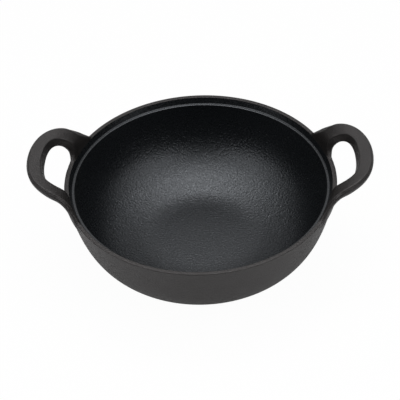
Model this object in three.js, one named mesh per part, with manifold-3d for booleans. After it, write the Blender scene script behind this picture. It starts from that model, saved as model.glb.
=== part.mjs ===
// A lidless cast-iron balti dish: a round bowl on a small flat foot, a lip with a lid ledge
// round the rim, and two loop handles that sweep up and out of the lip.
// Millimetres, +Z up. The origin is on the table under the middle of the foot, and the
// handles lie along X.
import * as THREE from 'three';
import { mergeVertices } from 'three/addons/utils/BufferGeometryUtils.js';
import Module from 'manifold-3d';

const wasm = await Module();
wasm.setup();

// Bowl
const RIM_DIAMETER = 244;      // across the outside of the lip
const RIM_HEIGHT = 78;         // table to the top of the lip
const RIM_DRAFT = 9.8;         // degrees by which the side leans out at the lip
const SIDE_RUN = 53;           // how far down the side keeps near that lean
const FOOT_DIAMETER = 100;     // flat face that the dish stands on
const FOOT_RISE = 7;           // degrees by which the underside rises where it leaves the foot
const FOOT_RUN = 56.6;         // how far the underside keeps near that rise
const FLOOR_THICKNESS = 5;     // table to the cooking floor, coats included
const WALL_THICKNESS = 4.8;    // high up the side, coats included
const FLANK_EXTRA = 2;         // extra thickness a third of the way up the side
const RIM_THICKNESS = 7.8;     // outside of the rim to the inner edge of the lid ledge
const THICKENING_POWER = 6;    // how late the side takes on the floor's and the rim's thickness

// Rim
const RIM_BAND_HEIGHT = 14;    // thickened band, from the top of the lip down
const LIP_WIDTH = 3.7;         // land on top of the lip
const LIP_EDGE_RADIUS = 0.6;   // rounding of the land's outer edge
const LIP_DROP = 5.8;          // top of the lip down to the lid ledge
const LIP_LEAN = 2.3;          // how far the lip's inner face leans in over that drop
const LEDGE_EDGE_DROP = 1.9;   // height of the ledge's rounded inner edge

// Enamel
const COAT_THICKNESS = 0.5;    // fired glass coat, inside and outside
const FOOT_BARE_WIDTH = 8;     // bare ground iron round the foot, before the outer coat starts

// Handles
const HANDLE_REACH = 29.8;     // rim to the outer edge of the top face
const HANDLE_WIDTH = 92.2;     // across both arms where they pass over the rim
const HANDLE_LIFT = 28.8;      // height that the top face levels off at, above the lip
const HANDLE_RISE_RUN = 8.1;   // distance over which the top face does most of its rising
const RISE_POWER = 0.78;       // under 1, the top face leaves the lip steeply
const HANDLE_THICKNESS = 8.3;
const TOP_ROUNDING = 1.2;      // edges of the top face
const HOLE_LEAN = 4.2;         // how far the hole's sides lean in towards the underside
const HOLE_ROUNDING = 2.5;     // underside's edge round the hole
const SIDE_LEAN = 1.1;         // how far the outer sides lean out towards the underside
const SIDE_ROUNDING = 5.5;     // underside's outer edge
const ARM_WIDTH = 14;          // each arm, where it passes over the rim
const GRIP_WIDTH = 11.8;       // top face at the outer end of the loop
const ARM_TAPER = 10.8;        // degrees by which the arms close in on each other
const ARM_RUN = 15.2;          // how far an arm keeps that direction
const HOLE_RUN = 10.5;         // straight start of the finger hole's sides
const HOLE_FLARE = 6;          // how far the hole's corners are rounded off along the lip
const GRIP_ROUNDING = 29.5;    // how far the corners at the grip are drawn round
const ROOT_FLARE = 17.3;       // extra half-width where an arm runs out along the lip
const ROOT_RUN = 10.3;         // length of the curve that makes this flare
const ROOT_OVERLAP = 0.6;      // how far a root runs on down inside the lip
const ROOT_THICKNESS = 5;      // at the end of a root
const ROOT_BLEND = 13;         // distance past the rim where an arm has its full thickness

const FIT_GAP = 0.3;           // clearance between neighbouring pieces
const TURN_STEPS = 64;         // flats round the bowl
const WALL_STEPS = 8;          // flats up the side
const LOOP_STEPS = 10;         // flats along each half of a handle's loop
const ROOT_STEPS = 4;          // flats along each root
const EDGE_STEPS = 2;          // flats round each rounded edge
const SEARCH_STEPS = 40;       // halvings when looking for a place on the bowl's curve

const IRON = { color: 0x3b3a3a, roughness: 0.8, metalness: 0.4 };
const OUTER_ENAMEL = { color: 0x2f2d2c, roughness: 0.6, metalness: 0 };
const INNER_ENAMEL = { color: 0x232529, roughness: 0.42, metalness: 0 };

const rimRadius = RIM_DIAMETER / 2;
const footRadius = FOOT_DIAMETER / 2;
const lipRadius = rimRadius - LIP_WIDTH;

// The outside of the bowl is one curve, near level at the foot and leaning out at the lip.
const rise = THREE.MathUtils.degToRad(FOOT_RISE);
const draft = THREE.MathUtils.degToRad(RIM_DRAFT);
const rimTop = new THREE.Vector2(rimRadius, RIM_HEIGHT);
const footEdge = new THREE.Vector2(footRadius, 0);
const outside = new THREE.CubicBezierCurve(
  footEdge,
  new THREE.Vector2(Math.cos(rise), Math.sin(rise)).multiplyScalar(FOOT_RUN).add(footEdge),
  new THREE.Vector2(Math.sin(draft), Math.cos(draft)).multiplyScalar(-SIDE_RUN).add(rimTop),
  rimTop,
);

// How far along that curve, from 0 at the foot to 1 at the lip, it reaches a height or a radius.
function alongWhere(coordinate, value) {
  let low = 0;
  let high = 1;
  for (let halving = 0; halving < SEARCH_STEPS; halving++) {
    const middle = (low + high) / 2;
    if (outside.getPoint(middle)[coordinate] < value) low = middle;
    else high = middle;
  }
  return low;
}

// A point "inset" millimetres inside the outer surface, square to it.
function wallPoint(along, inset) {
  const tangent = outside.getTangent(along);
  return outside.getPoint(along).add(new THREE.Vector2(-tangent.y, tangent.x).multiplyScalar(inset));
}

// Full thickness of the side: the floor's at the foot, the rim's at the lip, and more low down.
function thicknessAt(along) {
  const flank = along * (1 - along) ** 2;
  const fullFlank = 4 / 27;
  return WALL_THICKNESS
    + FLANK_EXTRA * flank / fullFlank
    + (FLOOR_THICKNESS - WALL_THICKNESS) * (1 - along) ** THICKENING_POWER
    + (RIM_THICKNESS - WALL_THICKNESS) * along ** THICKENING_POWER;
}

function wallCurve(from, to, insetAt, steps = WALL_STEPS) {
  const points = [];
  for (let i = 0; i <= steps; i++) {
    const along = from + (to - from) * i / steps;
    points.push(wallPoint(along, insetAt(along)));
  }
  return points;
}

// Turns a profile of (radius, height) points, listed anticlockwise, about the Z axis.
function turned(profile) {
  const touchesAxis = profile[0].x === 0;
  const closed = touchesAxis ? profile : [...profile, profile[0]];
  return new THREE.LatheGeometry(closed, TURN_STEPS).rotateX(Math.PI / 2);
}

function solid(geometry) {
  const bare = geometry.clone();
  bare.deleteAttribute('normal');
  bare.deleteAttribute('uv');
  const merged = mergeVertices(bare.index ? bare.toNonIndexed() : bare, 1e-4);
  return new wasm.Manifold(new wasm.Mesh({
    numProp: 3,
    vertProperties: new Float32Array(merged.attributes.position.array),
    triVerts: new Uint32Array(merged.index.array),
  }));
}

function geometryOf(manifold) {
  const mesh = manifold.getMesh();
  const geometry = new THREE.BufferGeometry();
  geometry.setAttribute('position', new THREE.BufferAttribute(mesh.vertProperties, 3));
  geometry.setIndex(new THREE.BufferAttribute(mesh.triVerts, 1));
  geometry.computeVertexNormals();
  return geometry;
}

const dish = new THREE.Group();

function addPiece(name, geometry, finish) {
  const piece = new THREE.Mesh(geometry, new THREE.MeshStandardMaterial(finish));
  piece.name = name;
  dish.add(piece);
  return piece;
}

// Base plate: the flat foot, with the cooking floor's coat above it. Its edge is square to the side.
const ironUnderFloor = FLOOR_THICKNESS - COAT_THICKNESS - FIT_GAP;

function basePlate() {
  return turned([
    new THREE.Vector2(0, 0),
    footEdge,
    new THREE.Vector2(footRadius - Math.tan(rise) * ironUnderFloor, ironUnderFloor),
    new THREE.Vector2(0, ironUnderFloor),
  ]);
}

// Bowl wall: the iron side between the foot and the rim band, set back for the coats.
const wallBottom = alongWhere('x', footRadius + FIT_GAP);
const wallTop = alongWhere('y', RIM_HEIGHT - RIM_BAND_HEIGHT);
const coatEdge = alongWhere('x', footRadius + FOOT_BARE_WIDTH);
const coatRoom = COAT_THICKNESS + FIT_GAP;

function bowlWall() {
  return turned([
    wallPoint(wallBottom, 0),
    wallPoint(coatEdge, 0),
    ...wallCurve(coatEdge, wallTop, () => coatRoom),
    ...wallCurve(wallTop, wallBottom, (along) => thicknessAt(along) - coatRoom),
  ]);
}

// Outer enamel: a thin coat from the bare foot up to the rim band.
function outerEnamel() {
  const start = alongWhere('x', footRadius + FOOT_BARE_WIDTH + FIT_GAP);
  return turned([
    ...wallCurve(start, wallTop, () => 0),
    ...wallCurve(wallTop, start, () => COAT_THICKNESS),
  ]);
}

// Inner enamel: a thin coat over the cooking floor and up the side to the rim band.
function innerEnamel() {
  return turned([
    new THREE.Vector2(0, FLOOR_THICKNESS - COAT_THICKNESS),
    ...wallCurve(0, wallTop, (along) => thicknessAt(along) - COAT_THICKNESS),
    ...wallCurve(wallTop, 0, thicknessAt),
    new THREE.Vector2(0, FLOOR_THICKNESS),
  ]);
}

// Rim band: the thickened top of the side, with the lip and the ledge that a lid would sit on.
const bandBottom = alongWhere('y', RIM_HEIGHT - RIM_BAND_HEIGHT + FIT_GAP);
const bandTop = alongWhere('y', RIM_HEIGHT - LIP_EDGE_RADIUS);

function rimBand() {
  const edge = wallPoint(bandTop, 0);
  const profile = new THREE.Path();
  profile.absarc(edge.x - LIP_EDGE_RADIUS, edge.y, LIP_EDGE_RADIUS, 0, Math.PI / 2);
  profile.lineTo(lipRadius, RIM_HEIGHT);
  profile.lineTo(lipRadius - LIP_LEAN, RIM_HEIGHT - LIP_DROP);
  const ledgeRadius = rimRadius - RIM_THICKNESS;
  profile.quadraticCurveTo(
    ledgeRadius, RIM_HEIGHT - LIP_DROP,
    ledgeRadius, RIM_HEIGHT - LIP_DROP - LEDGE_EDGE_DROP,
  );
  return turned([
    ...wallCurve(bandBottom, bandTop, () => 0, EDGE_STEPS).slice(0, -1),
    ...profile.getPoints(EDGE_STEPS),
    wallPoint(bandBottom, thicknessAt(bandBottom)),
  ]);
}

// Handles: each is a loop in plan, bent up out of the lip. Its top face carries on from the
// lip's inner face and levels off, so its height depends only on the distance from the middle.
const tip = rimRadius + HANDLE_REACH;
const rootRadius = lipRadius - ROOT_OVERLAP;

// Moves a point given in plan, with its depth under the top face, to its place on the handle.
function bendUp(place, depth) {
  const radius = place.length();
  const past = (radius - lipRadius) / HANDLE_RISE_RUN;
  const easing = Math.exp(-Math.sign(past) * Math.abs(past) ** RISE_POWER);
  const outward = new THREE.Vector2(
    HANDLE_LIFT * RISE_POWER * easing,
    -HANDLE_RISE_RUN * Math.abs(past) ** (1 - RISE_POWER),
  ).normalize();
  const grown = THREE.MathUtils.smoothstep(radius, rootRadius, rimRadius + ROOT_BLEND);
  const thickness = THREE.MathUtils.lerp(ROOT_THICKNESS, HANDLE_THICKNESS, grown);
  outward.multiplyScalar(depth * thickness / HANDLE_THICKNESS);
  const bent = place.clone().setLength(radius + outward.x);
  return new THREE.Vector3(bent.x, bent.y, RIM_HEIGHT + HANDLE_LIFT * (1 - easing) + outward.y);
}

// Cross-section of the loop as (distance across, depth under the top face), hole side first.
function loopSection(width) {
  const corners = [
    { side: width + SIDE_LEAN, turn: -1, face: HANDLE_THICKNESS, radius: SIDE_ROUNDING },
    { side: width, turn: -1, face: 0, radius: TOP_ROUNDING },
    { side: 0, turn: 1, face: 0, radius: TOP_ROUNDING },
    { side: -HOLE_LEAN, turn: 1, face: HANDLE_THICKNESS, radius: HOLE_ROUNDING },
  ];
  return corners.flatMap(({ side, turn, face, radius }, quarter) => {
    const across = side + turn * radius;
    const depth = face === 0 ? radius : face - radius;
    const start = (quarter - 1) * Math.PI / 2;
    const rounding = new THREE.EllipseCurve(across, -depth, radius, radius, start, start + Math.PI / 2);
    return rounding.getPoints(EDGE_STEPS).map(({ x, y }) => new THREE.Vector2(x, -y));
  });
}

// Half of one edge of the loop in plan: up the flared root, along the arm and round to the grip.
function loopEdge(flare, armPull, end) {
  const bow = new THREE.CubicBezierCurve(
    flare.getPoint(1), armPull, new THREE.Vector2(end, GRIP_ROUNDING), new THREE.Vector2(end, 0),
  );
  return [...flare.getPoints(ROOT_STEPS).slice(0, -1), ...bow.getPoints(LOOP_STEPS)];
}

// Goes from one point to another in plan, by distance from the bowl's axis and angle about it.
function between(from, to, share) {
  const radius = THREE.MathUtils.lerp(from.length(), to.length(), share);
  const angle = THREE.MathUtils.lerp(from.angle(), to.angle(), share);
  return new THREE.Vector2(Math.cos(angle), Math.sin(angle)).multiplyScalar(radius);
}

const onCircle = (radius, y) => new THREE.Vector2(Math.sqrt(radius ** 2 - y ** 2), y);

function loopGeometry() {
  const taper = THREE.MathUtils.degToRad(ARM_TAPER);
  const alongArm = new THREE.Vector2(Math.cos(taper), -Math.sin(taper));
  const outerArm = new THREE.Vector2(rimRadius, HANDLE_WIDTH / 2);
  const outerRoot = onCircle(rootRadius, outerArm.y + ROOT_FLARE);
  const alongLip = new THREE.Vector2(outerRoot.y, -outerRoot.x).setLength(ROOT_RUN);
  const outerFlare = new THREE.CubicBezierCurve(
    outerRoot,
    outerRoot.clone().add(alongLip),
    outerArm.clone().addScaledVector(alongArm, -ROOT_RUN),
    outerArm,
  );
  const outer = loopEdge(outerFlare, outerArm.clone().addScaledVector(alongArm, ARM_RUN), tip);

  const holeArm = onCircle(rimRadius, outerArm.y - ARM_WIDTH);
  const holeFlare = new THREE.QuadraticBezierCurve(
    onCircle(rootRadius, holeArm.y - HOLE_FLARE),
    onCircle(lipRadius, holeArm.y),
    holeArm,
  );
  const holePull = new THREE.Vector2(holeArm.x + HOLE_RUN, holeArm.y);
  const inner = loopEdge(holeFlare, holePull, tip - GRIP_WIDTH);

  const halfway = outer.map((point, i) => [inner[i], point]);
  const acrossX = ({ x, y }) => new THREE.Vector2(x, -y);
  const mirrored = halfway.slice(0, -1).reverse().map((pair) => pair.map(acrossX));
  const rings = [...halfway, ...mirrored].map(([hole, edge]) => {
    const width = hole.distanceTo(edge);
    return loopSection(width).map(({ x, y }) => bendUp(between(hole, edge, x / width), y));
  });
  return loft(rings);
}

// Joins rings of points into one closed skin, with flat ends.
function loft(rings) {
  const count = rings[0].length;
  const triangles = [];
  for (let ring = 0; ring + 1 < rings.length; ring++) {
    for (let i = 0; i < count; i++) {
      const a = ring * count + i;
      const b = ring * count + (i + 1) % count;
      triangles.push(a, b, a + count, b, b + count, a + count);
    }
  }
  const last = (rings.length - 1) * count;
  for (let i = 1; i + 1 < count; i++) {
    triangles.push(0, i + 1, i, last, last + i, last + i + 1);
  }
  const geometry = new THREE.BufferGeometry().setFromPoints(rings.flat());
  geometry.setIndex(triangles);
  return geometry;
}

// The loop is cut to saddle the lip and to lie against the outside of the bowl.
function handle() {
  const bowl = turned([
    new THREE.Vector2(0, 0),
    ...wallCurve(0, bandTop, () => -FIT_GAP, 2 * WALL_STEPS),
    new THREE.Vector2(rimRadius + FIT_GAP, RIM_HEIGHT + FIT_GAP),
    new THREE.Vector2(0, RIM_HEIGHT + FIT_GAP),
  ]);
  return geometryOf(solid(loopGeometry()).subtract(solid(bowl)));
}

addPiece('base_plate', basePlate(), IRON);
addPiece('bowl_wall', bowlWall(), IRON);
addPiece('rim_band', rimBand(), OUTER_ENAMEL);
addPiece('outer_enamel', outerEnamel(), OUTER_ENAMEL);
addPiece('inner_enamel', innerEnamel(), INNER_ENAMEL);
const handleShape = handle();
addPiece('right_handle', handleShape, OUTER_ENAMEL);
addPiece('left_handle', handleShape, OUTER_ENAMEL).rotation.z = Math.PI;

export default dish;
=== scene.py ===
import math

import bmesh
import bpy
from mathutils import Matrix, Vector
from mathutils.bvhtree import BVHTree


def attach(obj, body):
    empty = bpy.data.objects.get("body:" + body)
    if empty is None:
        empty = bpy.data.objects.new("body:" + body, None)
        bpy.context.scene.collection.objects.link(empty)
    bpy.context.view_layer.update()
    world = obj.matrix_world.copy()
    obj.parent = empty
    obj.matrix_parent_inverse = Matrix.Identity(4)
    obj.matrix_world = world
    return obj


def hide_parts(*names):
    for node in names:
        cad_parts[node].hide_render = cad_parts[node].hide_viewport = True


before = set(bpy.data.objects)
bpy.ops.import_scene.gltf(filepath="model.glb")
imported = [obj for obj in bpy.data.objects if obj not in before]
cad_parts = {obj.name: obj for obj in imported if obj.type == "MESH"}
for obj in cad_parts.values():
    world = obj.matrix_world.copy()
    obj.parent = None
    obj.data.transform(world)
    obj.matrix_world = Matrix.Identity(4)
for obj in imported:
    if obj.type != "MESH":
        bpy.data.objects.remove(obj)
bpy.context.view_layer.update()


# Foot
# The flat round pad that the dish stands on: grey cast iron, part of the casting, ground level
# on a turning table after the enamel is fired, so it is bare metal with fine ring-shaped marks.

FOOT_RADIUS = 50.0
FOOT_RISE = math.radians(7)
FLOOR_THICKNESS = 5.0
COAT_THICKNESS = 0.5
TURN_STEPS = 256


def metres(*sizes):
    """Millimetres as a vector in metres."""
    return Vector(sizes) / 1000


def outline(bm, points, roundings=None, closed=True):
    """Draws (radius, height) points in millimetres as a line in section, with some corners rounded."""
    corners = [bm.verts.new(metres(radius, 0, height)) for radius, height in points]
    follow = corners[1:] + corners[:1] if closed else corners[1:]
    for corner, after in zip(corners, follow):
        bm.edges.new((corner, after))
    for index, size in (roundings or {}).items():
        bmesh.ops.bevel(
            bm, geom=[corners[index]], offset=size / 1000, segments=6, profile=0.5,
            affect="VERTICES", material=-1,
        )


def turn(bm, angle=math.tau, steps=TURN_STEPS):
    """Turns the line in section about the dish's axis."""
    bmesh.ops.spin(
        bm, geom=bm.verts[:] + bm.edges[:], axis=(0, 0, 1), angle=angle, steps=steps,
        use_merge=angle == math.tau,
    )
    bmesh.ops.remove_doubles(bm, verts=bm.verts, dist=1e-7)


def finished(name, bm, *materials):
    """Makes a shown piece of the dish, smooth except at its sharp corners."""
    bmesh.ops.recalc_face_normals(bm, faces=bm.faces)
    mesh = bpy.data.meshes.new(name)
    bm.to_mesh(mesh)
    bm.free()
    mesh.shade_smooth()
    mesh.set_sharp_from_angle(angle=math.radians(40))
    for material in materials:
        mesh.materials.append(material)
    piece = bpy.data.objects.new(name, mesh)
    bpy.context.scene.collection.objects.link(piece)
    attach(piece, "root")
    return piece


def colour(code):
    """An sRGB hex colour as linear RGBA."""
    levels = [int(code[i:i + 2], 16) / 255 for i in (1, 3, 5)]
    return [v / 12.92 if v <= 0.04045 else ((v + 0.055) / 1.055) ** 2.4 for v in levels] + [1]


def add(tree, kind, inputs=(), **settings):
    """Adds a node: settings are its own, inputs are values or other nodes' outputs."""
    made = tree.nodes.new(kind)
    for setting, value in settings.items():
        setattr(made, setting, value)
    for socket, value in dict(inputs).items():
        if isinstance(value, bpy.types.NodeSocket):
            tree.links.new(value, made.inputs[socket])
        else:
            made.inputs[socket].default_value = value
    return made


def begin(name):
    """Starts an empty material and gives its nodes, with the piece's own coordinates."""
    material = bpy.data.materials.new(name)
    material.use_nodes = True
    material.node_tree.nodes.clear()
    return material, material.node_tree, add(material.node_tree, "ShaderNodeTexCoord").outputs["Object"]


# Ground grey iron: bright enough to read as metal, dulled by graphite, with turning marks a
# few tenths of a millimetre apart. They are drawn 0.9 mm apart so that they show.
ground_iron, tree, place = begin("ground_cast_iron")
marks = add(tree, "ShaderNodeTexWave", {
    "Vector": place, "Scale": 1000 / 0.9 / 20, "Distortion": 1.5, "Detail": 2, "Detail Scale": 3,
}, wave_type="RINGS", rings_direction="Z")
stain = add(tree, "ShaderNodeTexNoise", {"Vector": place, "Scale": 1000 / 18, "Detail": 4})
tint = add(tree, "ShaderNodeValToRGB", {"Fac": stain.outputs["Fac"]})
tint.color_ramp.elements[0].position = 0.35
tint.color_ramp.elements[0].color = colour("#4a4745")
tint.color_ramp.elements[1].position = 0.65
tint.color_ramp.elements[1].color = colour("#6a6765")
bump = add(tree, "ShaderNodeBump", {"Height": marks.outputs["Fac"], "Distance": 0.00003, "Strength": 0.6})
metal = add(tree, "ShaderNodeBsdfPrincipled", {
    "Base Color": tint.outputs["Color"], "Metallic": 1.0, "Roughness": 0.42, "Normal": bump.outputs["Normal"],
})
add(tree, "ShaderNodeOutputMaterial", {"Surface": metal.outputs["BSDF"]})

bm = bmesh.new()
foot_top = FLOOR_THICKNESS - COAT_THICKNESS
foot_shoulder = FOOT_RADIUS - math.tan(FOOT_RISE) * foot_top
outline(bm, [(0, 0), (FOOT_RADIUS, 0), (foot_shoulder, foot_top), (0, foot_top)], closed=False)
turn(bm)
foot = finished("foot", bm, ground_iron)
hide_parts("base_plate")


# Bowl wall
# The iron side of the casting, 4 to 6 mm thick under its coats. It only shows as a narrow bare
# ring round the foot, where the enamel was wiped off before firing.

RIM_RADIUS = 122.0
RIM_HEIGHT = 78.0
RIM_DRAFT = math.radians(9.8)
SIDE_RUN = 53.0
FOOT_RUN = 56.6
WALL_THICKNESS = 4.8
FLANK_EXTRA = 2.0
RIM_THICKNESS = 7.8
THICKENING_POWER = 6
RIM_BAND_HEIGHT = 14.0
FOOT_BARE_WIDTH = 8.0
WALL_STEPS = 60

foot_edge = Vector((FOOT_RADIUS, 0))
rim_top = Vector((RIM_RADIUS, RIM_HEIGHT))
WALL_CURVE = (
    foot_edge,
    foot_edge + FOOT_RUN * Vector((math.cos(FOOT_RISE), math.sin(FOOT_RISE))),
    rim_top - SIDE_RUN * Vector((math.sin(RIM_DRAFT), math.cos(RIM_DRAFT))),
    rim_top,
)


def wall(along, inset=0.0):
    """A point of the side in section: along goes from the foot to the lip, inset goes into the iron."""
    a, b, c, d = WALL_CURVE
    back = 1 - along
    point = back ** 3 * a + 3 * back ** 2 * along * b + 3 * back * along ** 2 * c + along ** 3 * d
    run = back ** 2 * (b - a) + 2 * back * along * (c - b) + along ** 2 * (d - c)
    return point + inset * Vector((-run.y, run.x)).normalized()


def thickness(along):
    """Full thickness of the side: the floor's at the foot, the rim's at the lip, and more low down."""
    flank = along * (1 - along) ** 2
    full_flank = 4 / 27
    return (WALL_THICKNESS + FLANK_EXTRA * flank / full_flank
            + (FLOOR_THICKNESS - WALL_THICKNESS) * (1 - along) ** THICKENING_POWER
            + (RIM_THICKNESS - WALL_THICKNESS) * along ** THICKENING_POWER)


def along_where(axis, value):
    """How far along the side it reaches a radius (axis 0) or a height (axis 1)."""
    low, high = 0.0, 1.0
    for _ in range(40):
        middle = (low + high) / 2
        if wall(middle)[axis] < value:
            low = middle
        else:
            high = middle
    return low


def stretch(start, stop, inset, steps=WALL_STEPS):
    """Points along the side, at an inset that may change on the way."""
    ways = [start + (stop - start) * i / steps for i in range(steps + 1)]
    return [wall(way, inset(way)) for way in ways]


# As-cast iron: dark, rough from the sand mould, a little brown where it has begun to rust.
cast_iron, tree, place = begin("as_cast_iron")
sand = add(tree, "ShaderNodeTexNoise", {"Vector": place, "Scale": 1000 / 0.8, "Detail": 3})
rust = add(tree, "ShaderNodeTexNoise", {"Vector": place, "Scale": 1000 / 9, "Detail": 5})
tint = add(tree, "ShaderNodeValToRGB", {"Fac": rust.outputs["Fac"]})
tint.color_ramp.elements[0].position = 0.4
tint.color_ramp.elements[0].color = colour("#2d2b2a")
tint.color_ramp.elements[1].position = 0.75
tint.color_ramp.elements[1].color = colour("#43362e")
bump = add(tree, "ShaderNodeBump", {"Height": sand.outputs["Fac"], "Distance": 0.00015, "Strength": 0.8})
metal = add(tree, "ShaderNodeBsdfPrincipled", {
    "Base Color": tint.outputs["Color"], "Metallic": 0.6, "Roughness": 0.66, "Normal": bump.outputs["Normal"],
})
add(tree, "ShaderNodeOutputMaterial", {"Surface": metal.outputs["BSDF"]})

band_bottom = along_where(1, RIM_HEIGHT - RIM_BAND_HEIGHT)
coat_edge = along_where(0, FOOT_RADIUS + FOOT_BARE_WIDTH)
bm = bmesh.new()
outline(bm, [
    *stretch(0, coat_edge, lambda way: 0, 6),
    *stretch(coat_edge, band_bottom, lambda way: COAT_THICKNESS),
    *stretch(band_bottom, 0, lambda way: thickness(way) - COAT_THICKNESS),
])
turn(bm)
side = finished("side", bm, cast_iron)
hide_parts("bowl_wall")


# Outer enamel
# Matte black glass fused to the outside of the bowl: sprayed on as a slip and fired. It follows
# the grain of the sand-cast iron under it.

# Matte black enamel: nearly black itself, so what the eye sees is mostly a broad soft sheen,
# broken up by the casting's grain. The grain is about 1 mm and is drawn at 1.4 mm so it shows.
matte_enamel, tree, place = begin("matte_black_enamel")
grain = add(tree, "ShaderNodeTexNoise", {"Vector": place, "Scale": 1000 / 1.4, "Detail": 3, "Roughness": 0.6})
waves = add(tree, "ShaderNodeTexNoise", {"Vector": place, "Scale": 1000 / 12, "Detail": 2})
cloud = add(tree, "ShaderNodeTexNoise", {"Vector": place, "Scale": 1000 / 30, "Detail": 3})
tint = add(tree, "ShaderNodeValToRGB", {"Fac": cloud.outputs["Fac"]})
tint.color_ramp.elements[0].position = 0.35
tint.color_ramp.elements[0].color = colour("#12100f")
tint.color_ramp.elements[1].position = 0.65
tint.color_ramp.elements[1].color = colour("#171514")
dull = add(tree, "ShaderNodeMapRange", {
    "Value": cloud.outputs["Fac"], "From Min": 0.3, "From Max": 0.7, "To Min": 0.43, "To Max": 0.49,
})
rolling = add(tree, "ShaderNodeBump", {"Height": waves.outputs["Fac"], "Distance": 0.0002, "Strength": 1.0})
bump = add(tree, "ShaderNodeBump", {
    "Height": grain.outputs["Fac"], "Distance": 0.00045, "Strength": 1.0, "Normal": rolling.outputs["Normal"],
})
glass = add(tree, "ShaderNodeBsdfPrincipled", {
    "Base Color": tint.outputs["Color"], "Roughness": dull.outputs["Result"], "IOR": 1.54,
    "Specular Tint": colour("#fffbfc"),
    "Normal": bump.outputs["Normal"],
})
add(tree, "ShaderNodeOutputMaterial", {"Surface": glass.outputs["BSDF"]})

bm = bmesh.new()
outline(bm, [
    *stretch(coat_edge, band_bottom, lambda way: 0),
    *stretch(band_bottom, coat_edge, lambda way: COAT_THICKNESS),
])
turn(bm)
outer_coat = finished("outer_coat", bm, matte_enamel)
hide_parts("outer_enamel")


# Inner enamel
# Satin black glass over the cooking floor and the inside of the bowl, up to the rim. It is
# glossier than the outside, and its skin is pebbled like orange peel.

TURN_RISE = 11.0          # how far out past the foot the floor's turn reaches up the side,
TURN_RUN = 14.0           # and how far in over the floor
TURN_POINTS = 12
SMALL_STEP = 0.01         # along the side, to find its slope
PEBBLE_DEPTHS = ((0.07, 0.6), (0.2, 1.0), (0.7, 1.0), (0.9, 0.25))    # by share of the rim's height
LIP_PEBBLE_DEPTH = 0.25

# Satin black enamel: black with a soft sheen that gathers into a glow where the floor turns up
# into the side. The pebbles are about 1.7 mm across, smoothest on their tops and shallower on the
# floor and the lip, with a rare pinhole.
satin_enamel, tree, place = begin("satin_black_enamel")
pebbles = add(tree, "ShaderNodeTexNoise", {
    "Vector": place, "Scale": 1000 / 1.7, "Detail": 2, "Roughness": 0.55,
})
holes = add(tree, "ShaderNodeTexVoronoi", {"Vector": place, "Scale": 1000 / 26}, feature="F1")
pinholes = add(tree, "ShaderNodeMapRange", {
    "Value": holes.outputs["Distance"], "From Min": 0.02, "From Max": 0.045, "To Min": 0, "To Max": 1,
})
dull = add(tree, "ShaderNodeMapRange", {
    "Value": pebbles.outputs["Fac"], "From Min": 0.35, "From Max": 0.65, "To Min": 0.35, "To Max": 0.24,
})
pitted = add(tree, "ShaderNodeBump", {
    "Height": pinholes.outputs["Result"], "Distance": 0.0004, "Strength": 1.0,
})
height = add(tree, "ShaderNodeSeparateXYZ", {"Vector": place})
upwards = add(tree, "ShaderNodeMapRange", {"Value": height.outputs["Z"], "From Max": RIM_HEIGHT / 1000})
depth = add(tree, "ShaderNodeValToRGB", {"Fac": upwards.outputs["Result"]})
depth.color_ramp.elements.remove(depth.color_ramp.elements[0])
depth.color_ramp.elements[0].color = (LIP_PEBBLE_DEPTH, LIP_PEBBLE_DEPTH, LIP_PEBBLE_DEPTH, 1)
for spot, level in PEBBLE_DEPTHS:
    depth.color_ramp.elements.new(spot).color = (level, level, level, 1)
bump = add(tree, "ShaderNodeBump", {
    "Height": pebbles.outputs["Fac"], "Distance": 0.0006, "Strength": depth.outputs["Color"],
    "Normal": pitted.outputs["Normal"],
})
glass = add(tree, "ShaderNodeBsdfPrincipled", {
    "Base Color": colour("#0d0f11"), "Roughness": dull.outputs["Result"], "IOR": 1.58,
    "Specular Tint": colour("#f3f8ff"),
    "Normal": bump.outputs["Normal"],
})
add(tree, "ShaderNodeOutputMaterial", {"Surface": glass.outputs["BSDF"]})


def bezier(points, steps):
    """Points along the Bezier curve that the given control points pull."""
    made = []
    for i in range(steps + 1):
        level = list(points)
        while len(level) > 1:
            level = [a.lerp(b, i / steps) for a, b in zip(level, level[1:])]
        made.append(level[0])
    return made


turn_top = along_where(0, FOOT_RADIUS + TURN_RISE)
turn_start, turn_next = stretch(turn_top, turn_top + SMALL_STEP, thickness, 1)
corner = turn_start.lerp(turn_next, (FLOOR_THICKNESS - turn_start.y) / (turn_next.y - turn_start.y))
turn_stop = corner - Vector((TURN_RUN, 0))
bm = bmesh.new()
outline(bm, [
    (0, foot_top),
    *stretch(0, band_bottom, lambda way: thickness(way) - COAT_THICKNESS),
    *stretch(band_bottom, turn_top, thickness),
    *bezier([turn_start, corner, turn_stop], TURN_POINTS)[1:],
    *[turn_stop * share + Vector((0, FLOOR_THICKNESS)) * (1 - share) for share in (0.75, 0.5, 0.25, 0)],
], closed=False)
turn(bm)
inner_coat = finished("inner_coat", bm, satin_enamel)
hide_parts("inner_enamel")


# Rim band
# The thickened top of the casting's side. A raised lip runs round it, and inside the lip is a
# ledge with a rounded edge for a lid. Matte enamel outside, satin enamel from the lip inwards.

LIP_WIDTH = 3.7
LIP_DROP = 5.8
LIP_LEAN = 2.3
LEDGE_EDGE_DROP = 1.9
LIP_EDGE_RADIUS = 0.7
LIP_INNER_RADIUS = 0.5
LIP_FOOT_RADIUS = 0.4
LEDGE_REACH = 1.0         # how far the ledge stands in past the rim's thickness
LEDGE_EDGE_RADIUS = 2.5
COAT_CHANGE = 0.4         # how far inside the lip the satin coat starts
BAND_MARGIN = 0.1         # keeps the band's bottom face, which never shows, in the matte coat

lip_radius = RIM_RADIUS - LIP_WIDTH
ledge_radius = RIM_RADIUS - RIM_THICKNESS - LEDGE_REACH


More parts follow.
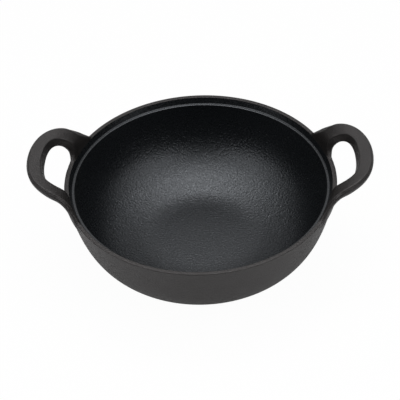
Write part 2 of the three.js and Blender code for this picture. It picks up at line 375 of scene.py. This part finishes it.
def rim_section(bottom, inset=0.0):
    """The rim in section, from the outside up over the lip and down to the inner coat."""
    outside_steps = 12
    points = [
        *stretch(bottom, 1, lambda way: inset, outside_steps),
        (lip_radius + inset, RIM_HEIGHT - inset),
        (lip_radius - LIP_LEAN + inset, RIM_HEIGHT - LIP_DROP - inset),
        (ledge_radius + inset, RIM_HEIGHT - LIP_DROP - inset),
        *stretch(along_where(1, RIM_HEIGHT - LIP_DROP - LEDGE_EDGE_DROP), bottom,
                 lambda way: thickness(way) - inset, outside_steps),
    ]
    points[outside_steps].y -= inset
    roundings = {outside_steps: LIP_EDGE_RADIUS, outside_steps + 1: LIP_INNER_RADIUS,
                 outside_steps + 2: LIP_FOOT_RADIUS, outside_steps + 3: LEDGE_EDGE_RADIUS}
    return points, roundings


bm = bmesh.new()
outline(bm, *rim_section(band_bottom))
turn(bm)
for face in bm.faces:
    middle = face.calc_center_median() * 1000
    inside = math.hypot(middle.x, middle.y) < lip_radius - COAT_CHANGE
    above = middle.z > RIM_HEIGHT - RIM_BAND_HEIGHT + BAND_MARGIN
    face.material_index = 1 if inside and above else 0
rim = finished("rim", bm, matte_enamel, satin_enamel)
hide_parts("rim_band")


# Handles
# Two loops cast in one with the rim. Each top face carries on from the lip and levels off as it
# sweeps up and out, and the casting's fillets run the roots out along the rim.

HANDLE_REACH = 29.8
HANDLE_WIDTH = 92.2
HANDLE_LIFT = 28.8
HANDLE_RISE_RUN = 8.1
RISE_POWER = 0.78
HANDLE_THICKNESS = 8.3
TOP_ROUNDING = 1.0
HOLE_LEAN = 4.2
HOLE_ROUNDING = 2.5
SIDE_LEAN = 1.1
SIDE_ROUNDING = 5.5
ARM_WIDTH = 14.0
GRIP_WIDTH = 11.8
ARM_TAPER = math.radians(10.8)
ARM_RUN = 15.2
HOLE_RUN = 10.5
HOLE_FLARE = 6.0
GRIP_ROUNDING = 29.5
ROOT_FLARE = 17.3
ROOT_RUN = 10.3
ROOT_OVERLAP = 0.6
ROOT_THICKNESS = 5.0
ROOT_BLEND = 13.0
ROOT_LIFT = 2.0           # how far in the hole's edge starts to rise, near the lip,
ROOT_INSET = 2.2          # how far in the top face's outer edge lies there,
ROOT_REACH = 13.0         # and the distance over which both die away
PAD = 0.6                 # how far the lip stands out between the arms,
PAD_FULL_ANGLE = math.radians(15)  # out to this angle from the handle's middle in full,
PAD_END_ANGLE = math.radians(20)   # and not past this one,
PAD_FULL_DEPTH = 4.0      # down to this depth under the lip in full,
PAD_END_DEPTH = 14.0      # and not under this one
FLARE_POINTS = 12
BOW_POINTS = 32
CORNER_STEPS = 4
FACE_STRIPS = 6
FILLET_RADIUS = 7.0
SEAM_REACH = 1.5 * FILLET_RADIUS
SINK = 1.0                # how far the swollen metal is sunk where there is no fillet
FILLET_GRIT = 0.8         # size of the mesh that the fillets are worked in
GRIT = 0.5                # size of the mesh that the loop ends up in
WORKED_DEPTH = 24.0       # part of the lip that the fillets run out on: down from its top,
WORKED_ANGLE = math.radians(84)    # and round the bowl
WORKED_STEPS = 24
CORE_BOTTOM = 20.0
CORE_STEPS = 40
TUCK = 0.05               # how far that part lies under the rim's own face

tip = RIM_RADIUS + HANDLE_REACH
root_radius = lip_radius - ROOT_OVERLAP


def smoothstep(value, low, high):
    """Goes gently from 0 at the low value to 1 at the high one."""
    share = min(max((value - low) / (high - low), 0), 1)
    return share * share * (3 - 2 * share)


def near_root(radius):
    """1 a little past the lip, dying away to 0 inwards and along the arm."""
    share = min(max((radius - lip_radius) / ROOT_REACH, 0), 1)
    return math.sin(math.pi * share ** 0.5) ** 2


def bend_up(place, depth, lift=0.0):
    """Where a point given in plan, at a depth under the top face, lies on the handle."""
    radius = place.length
    past = (radius + lift * near_root(radius) - lip_radius) / HANDLE_RISE_RUN
    easing = math.exp(-math.copysign(abs(past) ** RISE_POWER, past))
    outward = Vector((HANDLE_LIFT * RISE_POWER * easing, -HANDLE_RISE_RUN * abs(past) ** (1 - RISE_POWER)))
    outward.normalize()
    grown = smoothstep(radius, root_radius, RIM_RADIUS + ROOT_BLEND)
    outward *= depth / HANDLE_THICKNESS * (ROOT_THICKNESS + (HANDLE_THICKNESS - ROOT_THICKNESS) * grown)
    bent = place * ((radius + outward.x) / radius)
    return metres(bent.x, bent.y, RIM_HEIGHT + HANDLE_LIFT * (1 - easing) + outward.y)


def on_circle(radius, y):
    return Vector((math.sqrt(radius ** 2 - y ** 2), y))


def loop_edge(flare, arm_pull, end):
    """Half of one edge of the loop in plan: up the flared root, along the arm and round to the grip."""
    bow = [flare[-1], arm_pull, Vector((end, GRIP_ROUNDING)), Vector((end, 0))]
    return bezier(flare, FLARE_POINTS)[:-1] + bezier(bow, BOW_POINTS)


along_arm = Vector((math.cos(ARM_TAPER), -math.sin(ARM_TAPER)))
outer_arm = Vector((RIM_RADIUS, HANDLE_WIDTH / 2))
outer_root = on_circle(root_radius, outer_arm.y + ROOT_FLARE)
along_lip = Vector((outer_root.y, -outer_root.x)).normalized() * ROOT_RUN
outer_edge = loop_edge([outer_root, outer_root + along_lip, outer_arm - along_arm * ROOT_RUN, outer_arm],
                       outer_arm + along_arm * ARM_RUN, tip)
hole_arm = on_circle(RIM_RADIUS, outer_arm.y - ARM_WIDTH)
hole_root = on_circle(root_radius, hole_arm.y - HOLE_FLARE)
hole_edge = loop_edge([hole_root, on_circle(lip_radius, hole_arm.y), hole_arm],
                      hole_arm + Vector((HOLE_RUN, 0)), tip - GRIP_WIDTH)


def loop_section(width, inset):
    """The loop cut across, as (distance from the hole's edge, depth): corners rounded, faces in strips."""
    corners = [
        (width + SIDE_LEAN, -1, HANDLE_THICKNESS, -1, SIDE_ROUNDING),
        (width - inset, -1, 0, 1, TOP_ROUNDING),
        (0, 1, 0, 1, TOP_ROUNDING),
        (-HOLE_LEAN, 1, HANDLE_THICKNESS, -1, HOLE_ROUNDING),
    ]
    arcs = []
    for quarter, (across, inwards, depth, down, radius) in enumerate(corners):
        for step in range(CORNER_STEPS + 1):
            angle = (quarter - 1 + step / CORNER_STEPS) * math.pi / 2
            arcs.append(Vector((across + radius * (inwards + math.cos(angle)),
                                depth + radius * (down - math.sin(angle)))))
    points = []
    for i, point in enumerate(arcs):
        points.append(point)
        if i % (CORNER_STEPS + 1) == CORNER_STEPS:
            after = arcs[(i + 1) % len(arcs)]
            points += [point.lerp(after, strip / FACE_STRIPS) for strip in range(1, FACE_STRIPS)]
    return points


def between(start, stop, share):
    """A point between two others in plan, by distance from the dish's axis and angle about it."""
    radius = start.length + (stop.length - start.length) * share
    angle = math.atan2(start.y, start.x) * (1 - share) + math.atan2(stop.y, stop.x) * share
    return Vector((math.cos(angle), math.sin(angle))) * radius


def shaped(bm, name, make):
    """Runs a modifier, set up by make, on a mesh and gives its result as a new bmesh."""
    mesh = bpy.data.meshes.new(name)
    bm.to_mesh(mesh)
    bm.free()
    blank = bpy.data.objects.new(name, mesh)
    bpy.context.scene.collection.objects.link(blank)
    make(blank)
    bpy.context.view_layer.update()
    result = bmesh.new()
    result.from_object(blank, bpy.context.evaluated_depsgraph_get())
    bpy.data.objects.remove(blank)
    return result


halfway = list(zip(hole_edge, outer_edge))
mirrored = [(Vector((a.x, -a.y)), Vector((b.x, -b.y))) for a, b in reversed(halfway[:-1])]
bm = bmesh.new()
loops = []
for hole, edge in halfway + mirrored:
    width = (edge - hole).length
    ring = []
    for across, depth in loop_section(width, ROOT_INSET * near_root(edge.length)):
        lift = ROOT_LIFT * max(1 - across / width, 0) * (1 - depth / HANDLE_THICKNESS)
        ring.append(bm.verts.new(bend_up(between(hole, edge, across / width), depth, lift)))
    loops.append([bm.edges.new(pair) for pair in zip(ring, ring[1:] + ring[:1])])
for near, far in zip(loops, loops[1:]):
    bmesh.ops.bridge_loops(bm, edges=near + far)
for end in (loops[0], loops[-1]):
    bmesh.ops.contextual_create(bm, geom=end)
bmesh.ops.recalc_face_normals(bm, faces=bm.faces)

# The part of the lip that the fillets run out on is worked together with the loop.
lip_foot = lip_radius - LIP_LEAN
worked_bottom = along_where(1, RIM_HEIGHT - WORKED_DEPTH)
worked = bmesh.new()
outline(worked, [
    *stretch(worked_bottom, 1, lambda way: TUCK, WORKED_STEPS),
    (lip_radius + TUCK, RIM_HEIGHT - TUCK),
    (lip_foot + TUCK, RIM_HEIGHT - LIP_DROP),
    (wall(worked_bottom, RIM_THICKNESS).x, RIM_HEIGHT - WORKED_DEPTH),
], {WORKED_STEPS: LIP_EDGE_RADIUS, WORKED_STEPS + 1: LIP_EDGE_RADIUS})
bmesh.ops.rotate(worked, verts=worked.verts, matrix=Matrix.Rotation(-WORKED_ANGLE / 2, 3, "Z"))
first = worked.edges[:]
ends = bmesh.ops.spin(
    worked, geom=worked.verts[:] + first, axis=(0, 0, 1), angle=WORKED_ANGLE, steps=TURN_STEPS // 3,
)
last = [e for e in ends["geom_last"] if isinstance(e, bmesh.types.BMEdge)]
for end in (first, last):
    bmesh.ops.contextual_create(worked, geom=end)
for vert in worked.verts:
    flat = Vector(vert.co.xy)
    if flat.length * 1000 > RIM_RADIUS - LIP_WIDTH / 2:
        middle = 1 - smoothstep(abs(math.atan2(flat.y, flat.x)), PAD_FULL_ANGLE, PAD_END_ANGLE)
        high = smoothstep(vert.co.z * 1000, RIM_HEIGHT - PAD_END_DEPTH, RIM_HEIGHT - PAD_FULL_DEPTH)
        vert.co.xy += flat.normalized() * PAD * middle * high / 1000
bmesh.ops.recalc_face_normals(worked, faces=worked.faces)
seam_sides = [BVHTree.FromBMesh(bm), BVHTree.FromBMesh(worked)]


def join(bm, other):
    """Puts another mesh into this one, as it is."""
    mesh = bpy.data.meshes.new("joined")
    other.to_mesh(mesh)
    other.free()
    bm.from_mesh(mesh)
    bpy.data.meshes.remove(mesh)


def regrit(size):
    """Sets up a remesh to an even grit, which also fuses what overlaps."""
    def make(blank):
        made = blank.modifiers.new("grit", "REMESH")
        made.mode = "VOXEL"
        made.voxel_size = size / 1000
    return make


def swell(bm, by):
    """Moves the skin outwards by some millimetres, or inwards if that is negative."""
    bm.normal_update()
    for vert in bm.verts:
        vert.co += vert.normal * by / 1000


def smooth(bm, verts, passes):
    for _ in range(passes):
        bmesh.ops.smooth_vert(bm, verts=verts, factor=0.5, use_axis_x=True, use_axis_y=True, use_axis_z=True)


def near_seam(vert):
    """Whether a point is so close to both the loop and the lip that it lies on a fillet."""
    return all(side.find_nearest(vert.co, SEAM_REACH / 1000)[0] for side in seam_sides)


# Swelling the metal until its inner corners close, and shrinking it again, fills each with a fillet.
join(bm, worked)
filled = shaped(bm.copy(), "fillets", regrit(FILLET_GRIT))
swell(filled, FILLET_RADIUS)
filled = shaped(filled, "fillets", regrit(FILLET_GRIT))
smooth(filled, filled.verts, 3)
swell(filled, -FILLET_RADIUS - TUCK)
for vert in filled.verts:
    if not near_seam(vert):
        vert.co -= vert.normal * SINK / 1000
join(bm, filled)
bm = shaped(bm, "loop", regrit(GRIT))
smooth(bm, bm.verts, 2)
smooth(bm, [vert for vert in bm.verts if near_seam(vert)], 6)

# What lies inside the rim is cut away again, just under the rim's own face.
core = bmesh.new()
outline(core, [
    (0, CORE_BOTTOM),
    *stretch(along_where(1, CORE_BOTTOM), 1, lambda way: 2 * TUCK, CORE_STEPS),
    (lip_radius + 2 * TUCK, RIM_HEIGHT - 2 * TUCK),
    (lip_foot + 2 * TUCK, RIM_HEIGHT - LIP_DROP),
    (0, RIM_HEIGHT - LIP_DROP),
], {CORE_STEPS + 1: LIP_EDGE_RADIUS}, closed=False)
turn(core)
bmesh.ops.recalc_face_normals(core, faces=core.faces)
core_mesh = bpy.data.meshes.new("core")
core.to_mesh(core_mesh)
core.free()
core_blank = bpy.data.objects.new("core", core_mesh)
bpy.context.scene.collection.objects.link(core_blank)


def cut_core(blank):
    made = blank.modifiers.new("core", "BOOLEAN")
    made.operation = "DIFFERENCE"
    made.solver = "EXACT"
    made.object = core_blank


bm = shaped(bm, "loop", cut_core)
bpy.data.objects.remove(core_blank)
left = bm.copy()
bmesh.ops.rotate(left, verts=left.verts, matrix=Matrix.Rotation(math.pi, 3, "Z"))
for side_name, loop in (("right", bm), ("left", left)):
    handle = finished(side_name + "_loop", loop, matte_enamel)
    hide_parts(side_name + "_handle")


# Studio
# A white paper sweep under and behind the dish, wide soft boxes overhead and towards the back,
# and smaller ones in pairs round the sides and the front. The room behind the camera is dark.

FLOOR_HALF = 3.0
FLOOR_DROP = 0.1          # keeps the paper just clear of the foot
PAPER_SEEN = 0.97         # how much of the paper's white the camera sees,
PAPER_MIRRORED = 0.1      # and how much the dish mirrors, as its own shade darkens the paper
AMBIENT = 0.1
BACKDROP = (0, 0.85, 0.53)         # where the sweep's middle is,
BACKDROP_SQUEEZE = (0.5, 1, 1)     # how it is widened sideways,
BACKDROP_EDGE = 0.93               # where it starts to lighten, as a share of the way round to it,
BACKDROP_HALF = 0.965              # a place half way from there to its white middle,
BACKDROP_LEVEL = 0.18              # and how light it is there
BOXES_AIM = metres(0, 0, 40)

paper, tree, place = begin("white_paper")
path = add(tree, "ShaderNodeLightPath")
mirrored = add(tree, "ShaderNodeMath", {
    0: path.outputs["Is Glossy Ray"], 1: path.outputs["Is Transmission Ray"],
}, operation="MAXIMUM")
seen = add(tree, "ShaderNodeMath", {0: path.outputs["Is Camera Ray"], 1: mirrored.outputs[0]},
           operation="MAXIMUM")
lit = add(tree, "ShaderNodeBsdfDiffuse", {"Color": colour("#f0f0f0")})
white = add(tree, "ShaderNodeEmission", {"Strength": 1.0})
share = add(tree, "ShaderNodeMapRange", {
    "Value": path.outputs["Is Glossy Ray"], "To Min": PAPER_SEEN, "To Max": PAPER_MIRRORED,
})
shown = add(tree, "ShaderNodeMath", {0: seen.outputs[0], 1: share.outputs["Result"]}, operation="MULTIPLY")
mixed = add(tree, "ShaderNodeMixShader", {"Fac": shown.outputs[0], 1: lit.outputs[0], 2: white.outputs[0]})
add(tree, "ShaderNodeOutputMaterial", {"Surface": mixed.outputs[0]})
bm = bmesh.new()
bmesh.ops.create_grid(
    bm, x_segments=1, y_segments=1, size=FLOOR_HALF, matrix=Matrix.Translation(metres(0, 0, -FLOOR_DROP)),
)
floor_mesh = bpy.data.meshes.new("floor")
bm.to_mesh(floor_mesh)
bm.free()
floor_mesh.materials.append(paper)
floor = bpy.data.objects.new("floor", floor_mesh)
bpy.context.scene.collection.objects.link(floor)

# The dish mirrors the white sweep behind it, twice as wide as it is high, in an otherwise dark room.
world = bpy.data.worlds.new("studio")
bpy.context.scene.world = world
world.use_nodes = True
tree = world.node_tree
tree.nodes.clear()
path = add(tree, "ShaderNodeLightPath")
towards = add(tree, "ShaderNodeTexCoord").outputs["Generated"]
squeezed = add(tree, "ShaderNodeVectorMath", {0: towards, 1: BACKDROP_SQUEEZE}, operation="MULTIPLY")
direct = add(tree, "ShaderNodeVectorMath", {0: squeezed.outputs[0]}, operation="NORMALIZE")
behind = add(tree, "ShaderNodeVectorMath", {0: direct.outputs[0], 1: BACKDROP}, operation="DOT_PRODUCT")
turned = add(tree, "ShaderNodeMapRange", {
    "Value": behind.outputs["Value"], "From Min": -1.0, "From Max": 1.0,
})
room = add(tree, "ShaderNodeValToRGB", {"Fac": turned.outputs["Result"]})
room.color_ramp.elements[0].position = BACKDROP_EDGE
halfway_up = room.color_ramp.elements.new(BACKDROP_HALF)
halfway_up.color = (BACKDROP_LEVEL, BACKDROP_LEVEL, BACKDROP_LEVEL, 1)
mirrored = add(tree, "ShaderNodeMapRange", {
    "Value": path.outputs["Is Glossy Ray"], "To Min": AMBIENT, "To Max": room.outputs["Color"],
})
seen = add(tree, "ShaderNodeMath", {0: path.outputs["Is Camera Ray"], 1: path.outputs["Is Transmission Ray"]},
           operation="MAXIMUM")
level = add(tree, "ShaderNodeMapRange", {
    "Value": seen.outputs[0], "To Min": mirrored.outputs["Result"], "To Max": 1.0,
})
sky = add(tree, "ShaderNodeBackground", {"Strength": level.outputs["Result"]})
add(tree, "ShaderNodeOutputWorld", {"Surface": sky.outputs[0]})

for name, where, size, radiance in (
    ("box_overhead", (0, 0.1, 1.15), (1.2, 0.8), 1.6),
    ("box_middle", (0, 0.32, 1.1), (0.4, 0.3), 4.5),
    ("box_back", (0, 0.55, 1.0), (0.8, 0.45), 1.0),
    ("box_shoulder", (0.4, 0.3, 1.05), (0.35, 0.35), 1.4),
    ("box_side", (0.86, 0.1, 0.84), (0.5, 0.8), 1.0),
    ("box_corner", (0.6, -0.5, 0.95), (0.6, 0.55), 2.4),
    ("box_front", (0.45, -1.05, 0.85), (0.5, 0.3), 0.6),
    ("box_low", (1.0, -0.5, 0.6), (0.4, 0.5), 1.35),
):
    light = bpy.data.lights.new(name, "AREA")
    light.shape = "RECTANGLE"
    light.size, light.size_y = size
    light.energy = radiance * math.pi * size[0] * size[1]
    for hand in ((1, -1) if where[0] else (1,)):
        box = bpy.data.objects.new(name, light)
        box.location = (hand * where[0], where[1], where[2])
        box.rotation_euler = (BOXES_AIM - box.location).to_track_quat("-Z", "Y").to_euler()
        bpy.context.scene.collection.objects.link(box)

# Camera: as in the photograph, from the front and above, with its right side a little high.
EYE = metres(28.57, -756.91, 739.48)
AIM = metres(-1.085, 0, 49.985)
ROLL = math.radians(-2.33)
SENSOR_WIDTH = 36
FOCAL_LENGTH = 100.66
look = (AIM - EYE).normalized()
right = look.cross(Vector((0, 0, 1))).normalized()
up = right.cross(look)
right, up = right * math.cos(ROLL) + up * math.sin(ROLL), up * math.cos(ROLL) - right * math.sin(ROLL)
lens = bpy.data.cameras.new("camera")
lens.sensor_width = SENSOR_WIDTH
lens.lens = FOCAL_LENGTH
camera = bpy.data.objects.new("camera", lens)
camera.matrix_world = Matrix.Translation(EYE) @ Matrix((right, up, -look)).transposed().to_4x4()
bpy.context.scene.collection.objects.link(camera)
bpy.context.scene.camera = camera

bpy.context.scene.view_settings.view_transform = "Standard"
